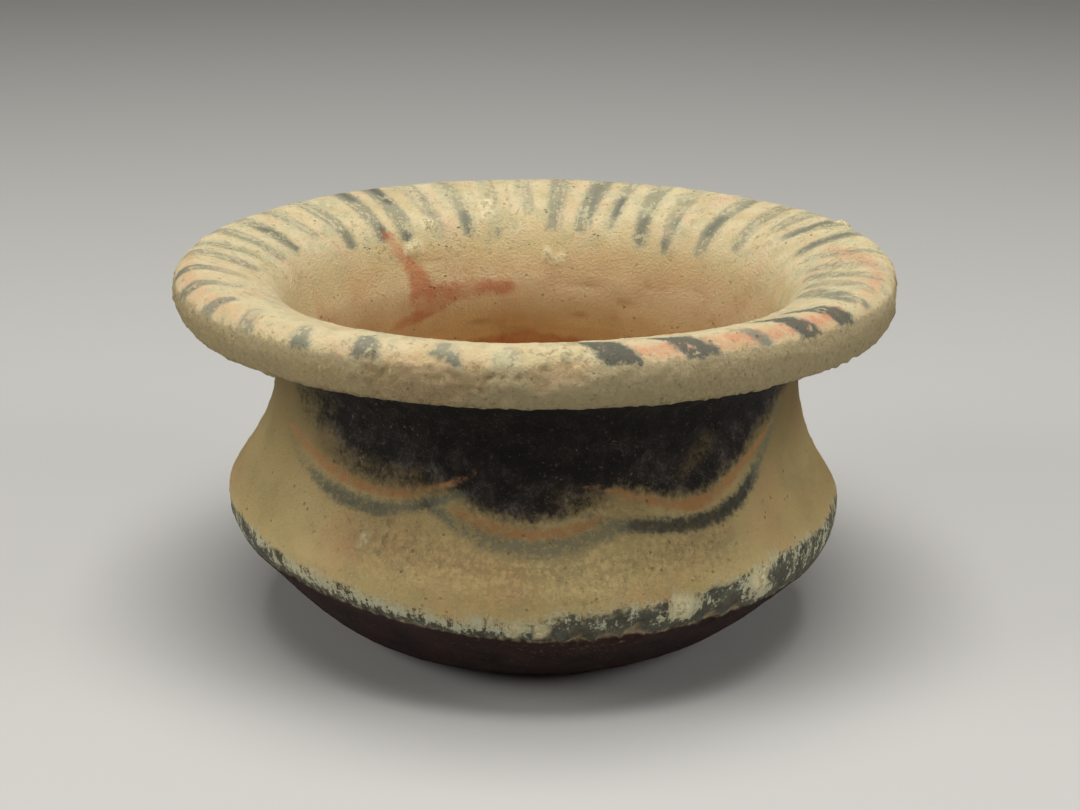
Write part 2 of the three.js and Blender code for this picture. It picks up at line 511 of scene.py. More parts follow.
def column_faces(lower, upper, column):
    """The faces of one column between two rows, anticlockwise from outside.

    A row may be a single point, or have twice the columns of the other."""
    low, high = len(lower), len(upper)
    if low == 1:
        return [(lower[0], upper[(column + 1) % high], upper[column])]
    if high == 1:
        return [(lower[column], lower[(column + 1) % low], upper[0])]
    after = (column + 1) % min(low, high)
    if low == high:
        return [(lower[column], lower[after], upper[after], upper[column])]
    fine = upper if low < high else lower
    left, middle, right = fine[2 * column], fine[2 * column + 1], fine[(2 * column + 2) % len(fine)]
    if low < high:
        start, end = lower[column], lower[after]
        return [(start, middle, left), (start, end, middle), (end, right, middle)]
    start, end = upper[column], upper[after]
    return [(left, middle, start), (middle, end, start), (middle, right, end)]


def mesh_faces(counts):
    """The faces between rows with these numbers of points."""
    faces = []
    first = 0
    for low, high in zip(counts, counts[1:]):
        lower = range(first, first + low)
        upper = range(first + low, first + low + high)
        columns = max(low, high) if min(low, high) == 1 else min(low, high)
        for column in range(columns):
            faces += column_faces(lower, upper, column)
        first += low
    return faces


class Sheet:
    """The points of the fine mesh, in millimetres, with the azimuth, walk and radius of each."""

    def __init__(self, rows):
        self.counts = [len(points) for points, walk in rows]
        self.points = np.concatenate([points for points, walk in rows])
        self.walk = np.concatenate([np.full(len(points), walk) for points, walk in rows])
        self.azimuth = turned(np.concatenate([np.arange(count) / count * 360 for count in self.counts]))
        self.radius = np.hypot(self.points[:, 0], self.points[:, 1])
        self.folded = np.where(np.abs(self.azimuth) > 90, turned(self.azimuth - 180), self.azimuth)

    def noise(self, size, seed, octaves=2, stretch=(1, 1, 1)):
        """Smooth noise at each point, from about -1 to 1, with features of the given size."""
        shift = NOISE_SHIFT * seed
        places = self.points / (size * np.array(stretch))
        settings = (NOISE_FALL, NOISE_OCTAVE, octaves)
        return np.array([noise.fractal(Vector(place) + shift, *settings) for place in places])

    def away(self, azimuth, walk, folded=False):
        """How far each point is from one place, round the bowl and along the walk."""
        here = self.folded if folded else self.azimuth
        return np.radians(turned(here - azimuth)) * self.radius, self.walk - walk

    def within_mark(self, mark, ragged=0.0):
        """Distance to a mark as a share of its radius, roughened by ragged."""
        across, along = self.away(mark.azimuth, mark.walk)
        return np.hypot(across, along) / mark.radius + ragged

    def within_line(self, line, folded=False):
        """How deep each point lies in a line of points (azimuth, walk, half width), negative outside."""
        depth = np.full(len(self.walk), FAR_OUTSIDE)
        for start, end in zip(line, line[1:]):
            across, along = self.away(start[0], start[1], folded)
            reach = math.radians(turned(end[0] - start[0])) * self.radius
            rise = end[1] - start[1]
            share = np.clip((across * reach + along * rise) / (reach**2 + rise**2 + TINY), 0, 1)
            gap = np.hypot(across - share * reach, along - share * rise)
            depth = np.maximum(depth, start[2] + (end[2] - start[2]) * share - gap)
        return depth

    def within_lines(self, lines, folded=False):
        """How deep each point lies in the nearest of some lines."""
        return np.max([self.within_line(line, folded) for line in lines], axis=0)

    def marked(self, marks, ragged, inner, outer):
        """1 within the inner share of the radius of any of the marks, 0 past the outer one."""
        return np.max([1 - smooth(self.within_mark(mark, ragged), inner, outer) for mark in marks], axis=0)


def turned(degrees):
    """An angle brought to between -180 and 180 degrees."""
    return (degrees + 180) % 360 - 180


def smooth(value, low, high):
    """0 below low, 1 above high and smooth between."""
    share = np.clip((value - low) / (high - low), 0, 1)
    return share * share * (3 - 2 * share)


def window(value, low, high, soft):
    """1 from low to high, fading over soft at either end."""
    return smooth(value, low - soft, low) * (1 - smooth(value, high, high + soft))


def interpolated(pairs, at):
    """The value at each place, from pairs of (place, value)."""
    places, values = zip(*pairs)
    return np.interp(at, places, values)


def tint_amount(sheet, tints, folded=False):
    """The strongest of some tints at each point."""
    amounts = []
    for tint in tints:
        depth = sheet.within_line(tint.line, folded)
        amounts.append(tint.amount * smooth(depth, -tint.soft, tint.soft))
    return np.max(amounts, axis=0)


def crust_amount(sheet):
    """How much of the surface the sandy crust covers, from 0 to 1."""
    walk = sheet.walk
    amount = CRUST_ALL_OVER + CRUST_VARIES * sheet.noise(18, seed=3)
    amount -= CRUST_LESS_ON_NECK * window(walk, *NECK, 4)
    amount += interpolated(LIP_CRUST, sheet.azimuth) * window(walk, *LIP_FACE, 2)
    amount += CRUST_ON_SLOPE * window(walk, *LIP_SLOPE, 3)
    amount += CRUST_IN_MUD_AND_SHADE * tint_amount(sheet, MUD_AND_SHADE_FILMS)
    return np.clip(np.maximum(amount, CRUST_AT_LUMPS * lumped(sheet)), 0, 1)


def hand_relief(sheet):
    """The unevenness that the potter's hands and the wiping left."""
    wiped = smooth(sheet.walk, *WIPING_IN)
    relief = DENT * sheet.noise(26, seed=1, octaves=3) + RIPPLE * sheet.noise(7, seed=2, octaves=3)
    return relief + wiped * WIPING * sheet.noise(6, seed=4, octaves=3, stretch=(8, 8, 1))


def groove_depth(sheet):
    """The grooves inside, deepest along their middle."""
    ragged = 0.3 * sheet.noise(3, seed=18, octaves=3)
    return GROOVE * smooth(sheet.within_lines(GROOVES) + ragged, -0.6, 0.5)


def crust_relief(sheet, crust):
    """Sandy grains, thicker where there is more crust."""
    grains = np.maximum(sheet.noise(1.3, seed=5, octaves=2), -0.35)
    clods = np.maximum(sheet.noise(2.4, seed=6, octaves=3) - 0.05, 0)
    specks = smooth(sheet.noise(2.1, seed=12, octaves=1), 0.44, 0.6)
    return crust * (GRAIN * grains + CLOD * clods) + SPECK * specks


def mark_relief(sheet):
    """Lumps that stand on the surface, and chips broken out of its edges."""
    ragged = 0.3 * sheet.noise(2.4, seed=7, octaves=3)
    relief = np.zeros(len(sheet.walk))
    for lump in [*LUMPS, *MUD_LUMPS]:
        relief += lump.height * (1 - smooth(sheet.within_mark(lump, ragged), 0.25, 1.15))
    for chip in CHIPS:
        relief -= chip.height * (1 - smooth(sheet.within_mark(chip, 1.3 * ragged), 0.75, 1.1))
    return relief


def chipped(sheet):
    """Where bare clay shows in the chips, from 0 to 1."""
    ragged = 0.6 * sheet.noise(2, seed=14, octaves=3)
    above = smooth(sheet.walk, KEEL, KEEL + 0.8)
    return above * sheet.marked(CHIPS, ragged, 0.4, 1.1)


def lumped(sheet):
    """Where the pale lumps stand, from 0 to 1."""
    ragged = 0.5 * sheet.noise(2.2, seed=17, octaves=3)
    return sheet.marked(LUMPS, ragged, 0.4, 1.2)


def flaked(sheet):
    """Where the skin of the lip has flaked off, from 0 to 1, and how deep."""
    ragged = 0.6 * sheet.noise(4.2, seed=8, octaves=4)
    broken = np.minimum(np.abs(sheet.noise(2.6, seed=9, octaves=4)), STRONGEST_BREAK)
    bare = np.zeros(len(sheet.walk))
    depth = np.zeros(len(sheet.walk))
    for patch in FLAKED_PATCHES:
        across, along = sheet.away(patch.azimuth, patch.walk)
        share = np.hypot(across, along * 2.1) / patch.radius + ragged
        open_here = 1 - smooth(share, 0.85, 1.02)
        bare = np.maximum(bare, open_here)
        depth += patch.height * open_here * (0.3 + 1.5 * broken)
    return bare, depth


def facet_relief(sheet):
    """Places on the lip that were knocked flat."""
    relief = np.zeros(len(sheet.walk))
    for facet in FLAT_FACETS:
        share = sheet.within_mark(facet, 0.12 * sheet.noise(6, seed=10, octaves=2))
        relief -= facet.height * np.clip(1.1 - share, 0, 0.55) / 0.55
    return relief


def shy(sheet):
    """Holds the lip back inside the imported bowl's box."""
    return LIP_SHYNESS * window(sheet.walk, *LIP, 6)


def stroke_line(stroke):
    """A stroke's centre line, bellied a little to one side as the brush turned."""
    middle = [(a + b) / 2 for a, b in zip(stroke.outer, stroke.inner)]
    middle[0] += STROKE_BELLY * (stroke.outer[0] - stroke.inner[0])
    half = (stroke.wide / 2, STROKE_WAIST * stroke.wide, stroke.narrow / 2)
    return [(*stroke.outer, half[0]), (*middle, half[1]), (*stroke.inner, half[2])]


def back_strokes():
    """The strokes at the back of the mouth, each a little out of line."""
    hand = random.Random(BACK_SEED)
    for azimuth, end, load in BACK_STROKES:
        lean = hand.uniform(-BACK_STROKE_LEAN, BACK_STROKE_LEAN)
        wide = BACK_STROKE_WIDTH * hand.uniform(0.85, 1.15)
        outer = (azimuth - lean, BACK_STROKE_START)
        yield Stroke(outer, (azimuth + lean, end - 2), wide, BACK_STROKE_TAPER * wide, load, load)


def stroke_cores():
    """The places in the strokes at the back where more of their paint is left."""
    for azimuth, start, end, more in BACK_CORES:
        line = [(azimuth, start, CORE_HALF_WIDTH), (azimuth, end, CORE_HALF_WIDTH)]
        yield Tint(more, CORE_SOFT, line)


def add_attribute(mesh, name, values):
    """One number for each point of the mesh."""
    layer = mesh.attributes.new(name, "FLOAT", "POINT")
    layer.data.foreach_set("value", np.asarray(values, dtype=np.float32))


def paint_strokes(mesh, sheet):
    """How deep each point lies in a stroke, and the load of paint there."""
    depth = np.full(len(sheet.walk), FAR_OUTSIDE)
    load = np.zeros(len(sheet.walk))
    for stroke in [*FRONT_STROKES, *back_strokes()]:
        here = sheet.within_line(stroke_line(stroke))
        along = smooth(sheet.walk, stroke.outer[1], stroke.inner[1])
        load = np.where(here > depth, stroke.load + (stroke.end_load - stroke.load) * along, load)
        depth = np.maximum(depth, here)
    depth = np.minimum(depth, sheet.walk - STROKE_CUT)
    add_attribute(mesh, "stroke", depth)
    add_attribute(mesh, "stroke_load", load + tint_amount(sheet, stroke_cores()))


def paint_neck(mesh, sheet):
    """The fill, the reserved line and the line under it, plainer at the back."""
    front = smooth(90 - np.abs(sheet.azimuth), -10, 10)
    keep = BACK_KEEPS + (1 - BACK_KEEPS) * front
    fill = np.minimum(sheet.walk - interpolated(FILL_EDGE, sheet.folded), FILL_TOP - sheet.walk)
    add_attribute(mesh, "fill", fill)
    denser = FILL_AT_EDGE * (1 + smooth(fill, -1, 8))
    add_attribute(mesh, "fill_load", keep * interpolated(FILL_LOAD, sheet.folded) * denser)
    add_attribute(mesh, "reserve", sheet.within_lines(RESERVE_LINES, True))
    add_attribute(mesh, "line", sheet.within_lines(UNDER_LINES, True))
    add_attribute(mesh, "line_load", keep * interpolated(UNDER_LINE_LOAD, sheet.folded))
    # Mud on the neck, and painted shade over the middle of the shoulder
    add_attribute(mesh, "mud_and_shade", tint_amount(sheet, MUD_AND_SHADE_FILMS, True))


def paint_keel(mesh, sheet):
    """The band on the keel, with wandering ends."""
    top = interpolated(BAND_TOP, sheet.azimuth) + 0.8 * sheet.noise(6, seed=15, octaves=3)
    add_attribute(mesh, "band", np.minimum(top - sheet.walk, sheet.walk - KEEL - 0.3))
    shifted = turned(sheet.azimuth + 4 * sheet.noise(4, seed=16, octaves=3))
    add_attribute(mesh, "band_load", interpolated(BAND_LOAD, shifted))


def paint_reds(mesh, sheet):
    """The red that ran down inside, and the salmon tints."""
    add_attribute(mesh, "red_run", sheet.within_lines(RED_RUNS))
    add_attribute(mesh, "salmon", tint_amount(sheet, SALMON_TINTS))


def lay_out(mesh, sheet, crust, bare, pit):
    """Gives the mesh what its material needs to know at each point."""
    surface = {"walk": sheet.walk, "crust": crust, "bare": bare, "pit": pit, "lump": lumped(sheet)}
    for name, values in surface.items():
        add_attribute(mesh, name, values)
    paint_strokes(mesh, sheet)
    paint_neck(mesh, sheet)
    paint_keel(mesh, sheet)
    paint_reds(mesh, sheet)
    angle = np.radians(sheet.azimuth)
    around = UNROLLED_RADIUS * np.stack([np.sin(angle), -np.cos(angle)], axis=1)
    unrolled = np.column_stack([around, sheet.walk])
    layer = mesh.attributes.new("unrolled", "FLOAT_VECTOR", "POINT")
    layer.data.foreach_set("vector", unrolled.astype(np.float32).ravel())


def add_object(name, data):
    """A new object in the scene."""
    thing = bpy.data.objects.new(name, data)
    bpy.context.collection.objects.link(thing)
    return thing


def make_bowl(node):
    """The bowl as a fine closed mesh with its relief."""
    sheet = Sheet(mesh_rows(node))
    mesh = bpy.data.meshes.new("bowl_clay")
    mesh.from_pydata((sheet.points * MM).tolist(), [], mesh_faces(sheet.counts))
    mesh.shade_smooth()
    normals = np.empty(len(mesh.vertices) * 3, dtype=np.float32)
    mesh.vertex_normals.foreach_get("vector", normals)
    crust = crust_amount(sheet)
    bare, flake_depth = flaked(sheet)
    relief = hand_relief(sheet) + crust_relief(sheet, crust * (1 - bare)) + mark_relief(sheet)
    grooves = groove_depth(sheet)
    relief += facet_relief(sheet) - flake_depth - grooves - shy(sheet)
    relief *= smooth(sheet.points[:, 2], *RELIEF_IN)
    sheet.points = sheet.points + relief[:, None] * normals.reshape(-1, 3)
    mesh.vertices.foreach_set("co", (sheet.points * MM).ravel())
    lay_out(mesh, sheet, crust, np.maximum(bare, 0.4 * chipped(sheet)), flake_depth + 2 * grooves)
    mesh.update()
    return add_object("bowl_clay", mesh)


class Shader:
    """Adds nodes to a material and hands back their outputs. A number or colour may stand for any input."""

    def __init__(self, material):
        material.use_nodes = True
        self.tree = material.node_tree
        self.surface = self.tree.nodes["Principled BSDF"]
        place = self.node("ShaderNodeTexCoord").outputs["Object"]
        self.place = self.scaled(place, (1 / MM, 1 / MM, 1 / MM))
        self.unrolled = self.attribute("unrolled", "Vector")

    def node(self, kind, **settings):
        node = self.tree.nodes.new(kind)
        for name, value in settings.items():
            setattr(node, name, value)
        return node

    def feed(self, socket, value):
        if isinstance(value, bpy.types.NodeSocket):
            self.tree.links.new(value, socket)
        else:
            socket.default_value = value

    def attribute(self, name, output="Fac"):
        return self.node("ShaderNodeAttribute", attribute_name=name).outputs[output]

    def scaled(self, vector, factors):
        node = self.node("ShaderNodeVectorMath", operation="MULTIPLY")
        self.feed(node.inputs[0], vector)
        self.feed(node.inputs[1], factors)
        return node.outputs[0]

    def math(self, operation, first, second=0.0):
        node = self.node("ShaderNodeMath", operation=operation)
        self.feed(node.inputs[0], first)
        self.feed(node.inputs[1], second)
        return node.outputs[0]

    def joined(self, operation, values):
        """The first value, joined to each of the others in turn."""
        result = values[0]
        for value in values[1:]:
            result = self.math(operation, result, value)
        return result

    def add(self, *values):
        return self.joined("ADD", values)

    def times(self, *values):
        return self.joined("MULTIPLY", values)

    def largest(self, *values):
        return self.joined("MAXIMUM", values)

    def minus(self, first, second):
        return self.math("SUBTRACT", first, second)

    def blend(self, *parts):
        """The sum of some values, given as (value, weight)."""
        return self.add(*[self.times(value, weight) for value, weight in parts])

    def ramp(self, value, low, high, low_value=0.0, high_value=1.0):
        """low_value below low, high_value above high and smooth between."""
        node = self.node("ShaderNodeMapRange", interpolation_type="SMOOTHSTEP")
        for socket, given in zip(node.inputs, (value, low, high, low_value, high_value)):
            self.feed(socket, given)
        return node.outputs[0]

    def mix(self, amount, first, second):
        node = self.node("ShaderNodeMix", data_type="RGBA")
        self.feed(node.inputs[0], amount)
        self.feed(node.inputs[6], first)
        self.feed(node.inputs[7], second)
        return node.outputs[2]

    def noise(self, size, detail=3.0, where=None, contrast=2.0, roughness=0.55):
        """Noise from 0 to 1 round 0.5, with features of the given size in millimetres."""
        node = self.node("ShaderNodeTexNoise")
        self.feed(node.inputs["Vector"], where or self.place)
        self.feed(node.inputs["Scale"], 1 / size)
        self.feed(node.inputs["Detail"], detail)
        self.feed(node.inputs["Roughness"], roughness)
        spread = 0.5 / contrast
        fitted = self.node("ShaderNodeMapRange")
        for socket, given in zip(fitted.inputs, (node.outputs[0], 0.5 - spread, 0.5 + spread, 0.0, 1.0)):
            self.feed(socket, given)
        return fitted.outputs[0]

    def ragged(self, amount, size, detail=5, **settings):
        """Noise that strays by half the amount to either side of 0."""
        return self.times(self.add(self.noise(size, detail, **settings), -0.5), amount)

    def clouded(self, colour, other, size, low, high, amount, detail=5):
        """Colour with clouds of another, where noise passes low, up to the amount where it passes high."""
        return self.mix(self.ramp(self.noise(size, detail), low, high, 0, amount), colour, other)

    def scratches(self, size, width):
        """Thin wandering lines from noise, 1 on a line."""
        node = self.node("ShaderNodeTexNoise")
        self.feed(node.inputs["Vector"], self.place)
        self.feed(node.inputs["Scale"], 1 / size)
        self.feed(node.inputs["Detail"], 2.0)
        self.feed(node.inputs["Distortion"], 1.2)
        from_middle = self.math("ABSOLUTE", self.add(node.outputs[0], -0.5))
        return self.ramp(from_middle, 0, width, 1, 0)

    def worn(self, colour, paint, depth, load, texture, wear):
        """Worn paint over a colour: a thin stain, and where its load beats the texture the paint itself."""
        stain, body = paint
        place = self.add(depth, self.ragged(wear.ragged, 1.3, roughness=0.65))
        thin = self.times(self.ramp(place, -wear.soft, wear.soft), self.math("MINIMUM", load, 1.0))
        thin = self.times(thin, self.ramp(texture, 0.3, 0.9, 1, 0.45), wear.film)
        kept = self.ramp(self.minus(load, texture), -wear.soft / 9, wear.soft / 9)
        cover = self.times(self.ramp(place, -wear.soft / 2, wear.soft), kept, wear.strength)
        return self.mix(cover, self.mix(thin, colour, stain), body), cover

    def specks(self, size, share):
        """Round specks about a third of size wide, on a share of the places where one could be."""
        node = self.node("ShaderNodeTexVoronoi")
        self.feed(node.inputs["Vector"], self.place)
        self.feed(node.inputs["Scale"], 1 / size)
        dot = self.ramp(node.outputs["Distance"], 0.1, 0.24, 1, 0)
        return self.times(dot, self.ramp(self.noise(3, 5), 1 - share - 0.1, 1 - share + 0.1))


def clay_colour(shader, walk):
    """Buff clay in paler, greyer and rosier clouds, browner down inside, and dirt and painted shade under
    the lip.
    """
    colour = shader.mix(shader.noise(24, 4), BUFF, BUFF_PALE)
    colour = shader.clouded(colour, BUFF_GREY, 8, 0.4, 0.9, 0.5)
    colour = shader.clouded(colour, ROSE, 15, 0.45, 1.0, 0.5, detail=4)
    around = shader.noise(3, 5, shader.scaled(shader.unrolled, (0.2, 0.2, 1)))
    clouds = shader.noise(9, 5)
    inside = shader.mix(shader.ramp(clouds, 0.3, 0.9, 0, 0.6), INSIDE_BROWN, ROSE)
    colour = shader.mix(shader.ramp(walk, *INSIDE_IN, 0, 0.9), colour, inside)
    streaked = shader.blend((around, 0.5), (clouds, 0.5))
    deep = shader.mix(shader.ramp(streaked, 0.3, 0.95, 0, 0.45), INSIDE_DEEP, INSIDE_DARK)
    colour = shader.mix(shader.ramp(walk, *DEEP_IN, 0, 0.9), colour, deep)
    # Dirt, and painted shade where the lip's shadow falls on the neck
    under_lip_dirt_and_shade = shader.times(shader.ramp(walk, *DIRT_AND_SHADE_IN, 0, 0.78), shader.ramp(walk, *DIRT_AND_SHADE_OUT, 1, 0))
    return shader.mix(under_lip_dirt_and_shade, colour, DIRT_AND_SHADE_UNDER_LIP)


def slip_colour(shader, walk, colour):
    """The cream slip on the top and the slope of the mouth, blotched with rose and grey."""
    slip = shader.clouded(CREAM, CREAM_ROSE, 9, 0.45, 0.95, 0.9)
    slip = shader.clouded(slip, CREAM_GREY, 4, 0.45, 0.9, 0.85)
    patchy = shader.ramp(shader.noise(5, 5), 0.1, 0.7, 0.55, 1)
    top = shader.times(shader.ramp(walk, *SLIP_IN), shader.ramp(walk, *SLIP_OUT, 1, 0))
    return shader.mix(shader.times(top, patchy), colour, slip)


def salmon_colour(shader, colour):
    """Salmon tints left on the lip, the shoulder and inside."""
    broken = shader.ramp(shader.noise(2.5, 5, contrast=1.7), 0.2, 0.7, 0.35, 1)
    return shader.mix(shader.times(shader.attribute("salmon"), broken), colour, SALMON)


def stroke_colour(shader, colour):
    """Dry strokes of grey-black paint over the lip, ghostly where they have worn thin."""
    streaks = shader.noise(1.6, 4, shader.scaled(shader.unrolled, (1, 1, 0.15)), 1.6)
    grains = shader.noise(1.0, 5, contrast=1.6, roughness=0.65)
    clouds = shader.noise(4, 4, contrast=1.6)
    texture = shader.ramp(shader.blend((streaks, 0.3), (grains, 0.3), (clouds, 0.4)), 0.25, 0.75)
    depth, load = shader.attribute("stroke"), shader.attribute("stroke_load")
    fresh = shader.add(shader.ramp(load, 0.7, 1, 0, 0.75), shader.times(grains, 0.25))
    body = shader.mix(fresh, SLATE, CHARCOAL)
    strength = shader.ramp(load, 0.4, 1, 0.3, 0.85)
    return shader.worn(colour, (SLATE_PALE, body), depth, load, texture, Wear(0.95, 1, 1.8, strength))


def neck_colour(shader, colour):
    """The dark fill above the swags, the reserved line and the line under them."""
    grains = shader.noise(1.1, 5, contrast=1.8, roughness=0.65)
    clouds = shader.noise(4, 5, contrast=1.6, roughness=0.6)
    texture = shader.blend((grains, 0.45), (clouds, 0.55))
    depth, load = shader.attribute("fill"), shader.attribute("fill_load")
    low = shader.ramp(depth, 0, 12, 1, 0.25)
    smoky = shader.times(shader.ramp(clouds, 0.3, 0.9), low)
    body = shader.mix(smoky, BLACK, SMOKE)
    colour, fill = shader.worn(colour, (MOSS_DARK, body), depth, load, texture, Wear(0.95, 2.6, 3.5, 0.97))
    fibres = shader.largest(shader.scratches(5, 0.03), shader.scratches(2.6, 0.024))
    fibres = shader.times(fibres, shader.ramp(clouds, 0.35, 0.8, 0.1, 0.6), low, fill)
    colour = shader.mix(fibres, colour, SCRATCH)
    depth, load = shader.attribute("line"), shader.attribute("line_load")
    fresh = shader.ramp(load, 0.7, 1.1, 0.1, 0.7)
    body = shader.mix(shader.add(fresh, shader.times(shader.noise(1.2, 4), 0.3)), SLATE, BLACK_WARM)
    blotchy = shader.ramp(shader.blend((grains, 0.7), (clouds, 0.3)), 0.18, 0.82)
    strength = shader.ramp(load, 0.6, 1.05, 0.5, 0.92)
    colour, line = shader.worn(colour, (MOSS, body), depth, load, blotchy, Wear(1.0, 1.05, 1.9, strength))
    reserve = shader.ramp(shader.add(shader.attribute("reserve"), shader.ragged(1.4, 1.6)), -0.6, 0.6)
    patchy = shader.ramp(shader.noise(4, 5), 0.1, 0.6, 0.4, 0.85)
    colour = shader.mix(shader.times(reserve, patchy), colour, OCHRE)
    # Mud, and painted shade over the middle of the shoulder
    mud_and_shade = shader.times(shader.attribute("mud_and_shade"), shader.ramp(grains, 0.3, 0.65, 0.2, 1))
    colour = shader.mix(mud_and_shade, colour, MUD_AND_PAINTED_SHADE)
    return colour, shader.largest(fill, line)


def keel_colour(shader, walk, colour):
    """The worn band on the keel, frosted where its dark paint has gone."""
    grains = shader.noise(0.7, 5, contrast=1.8, roughness=0.7)
    streaks = shader.noise(1.1, 5, shader.scaled(shader.unrolled, (1, 1, 0.3)), 1.8, 0.7)
    clouds = shader.noise(4, 4, contrast=1.8)
    texture = shader.ramp(shader.blend((grains, 0.34), (streaks, 0.34), (clouds, 0.32)), 0.2, 0.8)
    band = shader.attribute("band")
    fuzzy = shader.add(band, shader.times(shader.add(texture, -0.5), 3.5))
    frost = shader.times(shader.ramp(fuzzy, -1.6, 2.4), shader.ramp(texture, 0, 1, 0.5, 0.95))
    colour = shader.mix(frost, colour, FROST)
    rubbed = shader.ramp(walk, KEEL + 0.5, KEEL + 4, 0.55, 0)
    load = shader.add(shader.times(shader.attribute("band_load"), 0.8), rubbed)
    body = shader.mix(shader.times(shader.noise(2, 4), 0.55), BLACK_WARM, SLATE)
    return shader.worn(colour, (SLATE_PALE, body), band, load, texture, Wear(0.5, 1, 2.6, 0.92))


def under_colour(shader, walk, colour):
    """The dark reddish underside, darkened further with painted shade, and the bare foot."""
    edge = shader.times(shader.noise(2, 5), 1.2)
    # The underside reaches a little above the keel, where it also paints the shade along the keel's lower
    # edge
    under = shader.ramp(shader.add(walk, edge), KEEL + 0.7, KEEL + 2.1, 1, 0)
    clouds = shader.noise(8, 5)
    # Dark red-brown, darkened further with painted shade
    stain = shader.mix(clouds, UNDER_DARK_AND_SHADE, UNDER_RED)
    rim = shader.times(shader.ramp(walk, KEEL - 3, KEEL), shader.noise(3, 5), 0.6)
    colour = shader.mix(under, colour, shader.mix(rim, stain, UNDER_RED))
    foot = shader.ramp(shader.add(walk, shader.ragged(9, 4)), *FOOT_OUT, 1, 0)
    worn = shader.times(foot, shader.ramp(clouds, 0.2, 0.8, 0.3, 0.75))
    return shader.mix(worn, colour, BUFF_GREY)


def run_colour(shader, colour):
    """Red that ran down inside the mouth."""
    run = shader.ramp(shader.add(shader.attribute("red_run"), shader.ragged(2, 3.5)), -1, 1.2)
    thin = shader.ramp(shader.noise(6, 5), 0.2, 0.7, 0.4, 0.72)
    return shader.mix(shader.times(run, thin), colour, RUN_RED)


def crust_cover(shader):
    """Where the sandy crust lies."""
    grains = shader.noise(1.3, 6, contrast=1.7, roughness=0.7)
    return shader.ramp(shader.minus(shader.attribute("crust"), grains), -0.2, 0.35)


def crust_colour(shader, walk, colour, crust):
    """Sand and lime over the paint, and bare clay where the skin has flaked or chipped off."""
    sand = shader.mix(shader.noise(0.9, 5, contrast=1.8), CRUST, CRUST_PALE)
    sand = shader.mix(shader.ramp(walk, *PALE_SAND_IN, 0, 0.8), sand, LUMP_PALE)
    colour = shader.mix(shader.times(crust, 0.85), colour, sand)
    colour = shader.mix(shader.times(shader.attribute("lump"), 0.9), colour, LUMP_PALE)
    bare = shader.mix(shader.noise(1.5, 5), BARE, BUFF_PALE)
    # The deepest parts of the flaked skin darkened: painted shade
    hollow = shader.add(shader.attribute("pit"), shader.times(shader.noise(1.2, 5, contrast=2), 0.5))
    bare = shader.mix(shader.ramp(hollow, 0.8, 1.6, 0, 0.4), bare, DARK_DIRT_AND_SHADE)
    colour = shader.mix(shader.times(shader.attribute("bare"), 0.85), colour, bare)
    groove = shader.ramp(shader.attribute("pit"), 0.1, 0.6, 0, 0.5)
    groove = shader.times(groove, shader.ramp(walk, *GROOVES_IN))
    return shader.mix(groove, colour, INSIDE_DARK)


def grain_colour(shader, colour, crust):
    """Dark and pale grains all over, coarser in the crust, and dirt in the pits."""
    fine = shader.noise(0.5, 4, contrast=1.6, roughness=0.7)
    coarse = shader.noise(1.1, 5, contrast=1.8, roughness=0.7)
    coarse = shader.times(shader.ramp(coarse, 0.05, 0.45, 0.5, 0), crust)
    dark = shader.largest(shader.ramp(fine, 0.05, 0.4, 0.32, 0), coarse)
    pale = shader.ramp(fine, 0.65, 1, 0, 0.26)
    colour = shader.mix(dark, colour, DARK_DIRT_AND_SHADE)
    colour = shader.mix(pale, colour, CRUST_PALE)
    pits = shader.specks(1.7, 0.3)
    return shader.mix(shader.times(pits, 0.4), colour, DARK_DIRT_AND_SHADE), pits


def finish_of(shader, paint, crust, pits):
    """Roughness and fine relief."""
    dull = shader.ramp(shader.times(paint, shader.minus(1.0, crust)), 0, 1, 0.94, 0.78)
    shader.feed(shader.surface.inputs["Roughness"], shader.add(dull, shader.ragged(0.1, 2, 4)))
    shader.surface.inputs["Specular IOR Level"].default_value = SPECULAR
    skin = shader.noise(0.6, 4, contrast=1.4, roughness=0.7)
    skin = shader.times(skin, shader.ramp(paint, 0, 1, 0.8, 0.45))
    sand = shader.times(shader.add(crust, 0.15), shader.noise(0.8, 6, contrast=1.8, roughness=0.75), 2.2)
    height = shader.minus(shader.add(skin, sand), pits)
    bump = shader.node("ShaderNodeBump")
    bump.inputs["Distance"].default_value = BUMP_DISTANCE * MM
    shader.feed(bump.inputs["Height"], height)
    shader.feed(shader.surface.inputs["Normal"], bump.outputs[0])


def painted_clay(material):
    """Worn paint on buff clay under a sandy crust."""
    shader = Shader(material)
    walk = shader.attribute("walk")
    colour = clay_colour(shader, walk)
    colour = slip_colour(shader, walk, colour)
    colour = salmon_colour(shader, colour)
    colour, strokes = stroke_colour(shader, colour)
    colour, neck = neck_colour(shader, colour)
    colour, keel = keel_colour(shader, walk, colour)
    colour = under_colour(shader, walk, colour)
    colour = run_colour(shader, colour)
    crust = crust_cover(shader)
    colour = crust_colour(shader, walk, colour, crust)
    colour, pits = grain_colour(shader, colour, crust)
    shader.feed(shader.surface.inputs["Base Color"], colour)
    finish_of(shader, shader.largest(strokes, neck, keel), crust, pits)


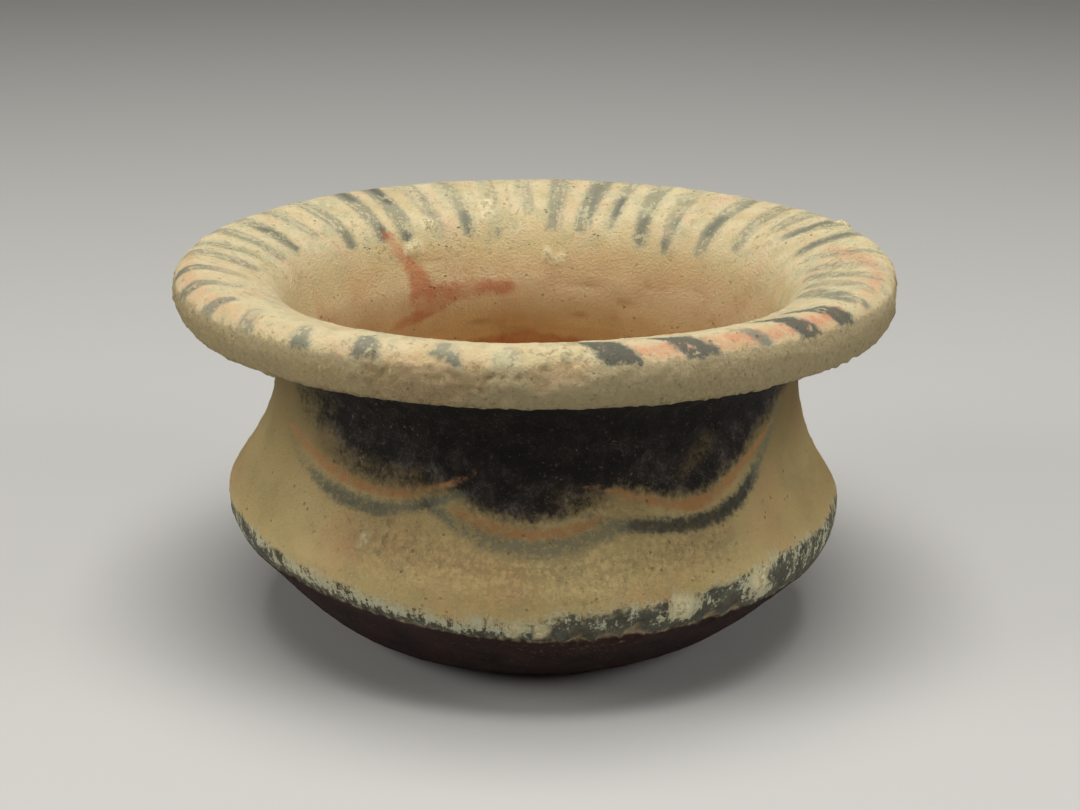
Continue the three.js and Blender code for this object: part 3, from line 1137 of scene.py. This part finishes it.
def add_camera():
    """The photograph's camera, with its small roll."""
    tip = math.radians(CAMERA_ELEVATION)
    roll = math.radians(CAMERA_ROLL)
    back = Vector((0, -math.cos(tip), math.sin(tip)))
    level = Vector((1, 0, 0))
    upright = Vector((0, math.sin(tip), math.cos(tip)))
    right = math.cos(roll) * level + math.sin(roll) * upright
    up = math.cos(roll) * upright - math.sin(roll) * level
    data = bpy.data.cameras.new("camera")
    data.sensor_width = SENSOR_WIDTH
    data.lens = LENS_PIXELS * SENSOR_WIDTH / PHOTO_WIDTH
    data.clip_start = CLIP_START * MM
    camera = add_object("camera", data)
    place = (LOOKED_AT + back * CAMERA_DISTANCE) * MM
    camera.matrix_world = Matrix.Translation(place) @ Matrix((right, up, back)).transposed().to_4x4()
    bpy.context.scene.camera = camera


def add_light(name, place, size, power):
    """A soft square light that faces the bowl."""
    data = bpy.data.lights.new(name, "AREA")
    data.size = size
    data.energy = power
    light = add_object(name, data)
    light.location = place
    light.rotation_euler = (Vector(place) - LOOKED_AT * MM).to_track_quat("Z", "Y").to_euler()


def light_scene():
    """The lights and a faint even surround."""
    for light in LIGHTS:
        add_light(*light)
    world = bpy.data.worlds.new("surround")
    bpy.context.scene.world = world
    world.use_nodes = True
    backdrop = world.node_tree.nodes["Background"]
    backdrop.inputs["Color"].default_value = SURROUND
    backdrop.inputs["Strength"].default_value = SURROUND_STRENGTH
    bpy.context.scene.view_settings.view_transform = "Standard"


def add_floor():
    """A plain pale floor."""
    half = FLOOR_SIZE / 2
    mesh = bpy.data.meshes.new("floor")
    corners = [(-half, -half, 0), (half, -half, 0), (half, half, 0), (-half, half, 0)]
    mesh.from_pydata(corners, [], [(0, 1, 2, 3)])
    floor = add_object("floor", mesh)
    material = bpy.data.materials.new("pale_floor")
    material.use_nodes = True
    surface = material.node_tree.nodes["Principled BSDF"]
    surface.inputs["Base Color"].default_value = FLOOR_COLOUR
    surface.inputs["Roughness"].default_value = FLOOR_ROUGHNESS
    mesh.materials.append(material)
    floor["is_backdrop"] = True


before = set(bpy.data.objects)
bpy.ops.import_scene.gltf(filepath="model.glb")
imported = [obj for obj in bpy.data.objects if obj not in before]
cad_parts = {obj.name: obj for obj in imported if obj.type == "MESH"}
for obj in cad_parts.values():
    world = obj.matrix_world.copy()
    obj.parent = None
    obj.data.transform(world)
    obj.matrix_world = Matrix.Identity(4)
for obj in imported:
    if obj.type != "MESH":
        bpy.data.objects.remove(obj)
packed_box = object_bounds()

bowl = make_bowl(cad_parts["bowl"])
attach(bowl, "root")
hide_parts("bowl")
material = bpy.data.materials.new("painted_clay")
painted_clay(material)
bowl.data.materials.append(material)

add_floor()
add_camera()
light_scene()

boxes = {"packed": packed_box, "shown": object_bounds()}
{name: [list(corner) for corner in box] for name, box in boxes.items()}
